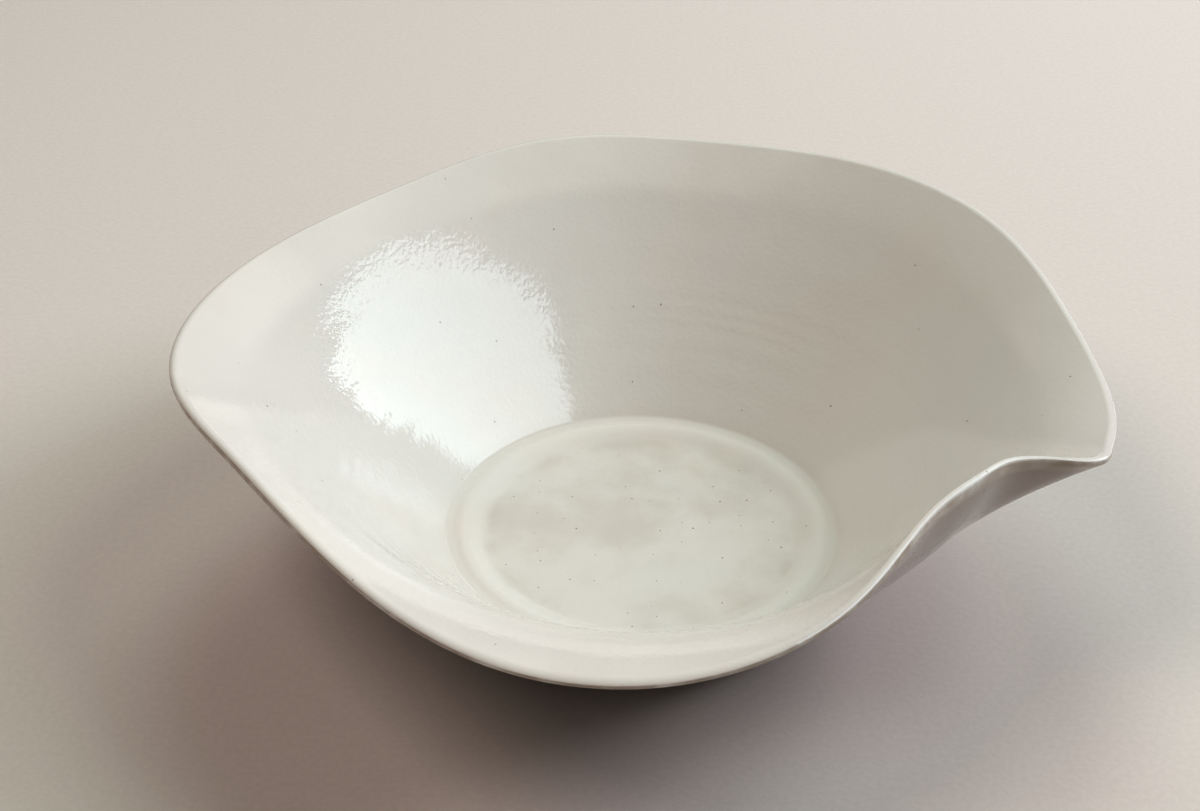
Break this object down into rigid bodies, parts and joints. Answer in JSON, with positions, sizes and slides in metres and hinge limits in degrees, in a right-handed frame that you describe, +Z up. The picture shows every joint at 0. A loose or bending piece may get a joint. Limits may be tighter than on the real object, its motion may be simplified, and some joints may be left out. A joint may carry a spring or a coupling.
{
  "type": "evaporating dish",
  "caption": "Shallow round ceramic dish with a flared, hand-shaped wall, a pinched pouring lip and a low foot ring, glazed white.",
  "frame": {"origin": "middle of the outline seen from above, on the surface that the foot ring stands on", "axes": "+Z up; +X towards the pouring lip's side; +Y away from the pinched side of the lip, along the dish's longest side"},
  "size_m": [0.2254, 0.229, 0.074],
  "materials": {
    "white_glaze": "glossy off-white glaze over stoneware, with fine specks, throwing rings and a thin warm edge at the rim",
    "bare_clay": "unglazed fired clay, matt and slightly sandy"
  },
  "bodies": {
    "root": {"dish": "white_glaze", "foot_ring": "bare_clay"}
  },
  "joints": []
}
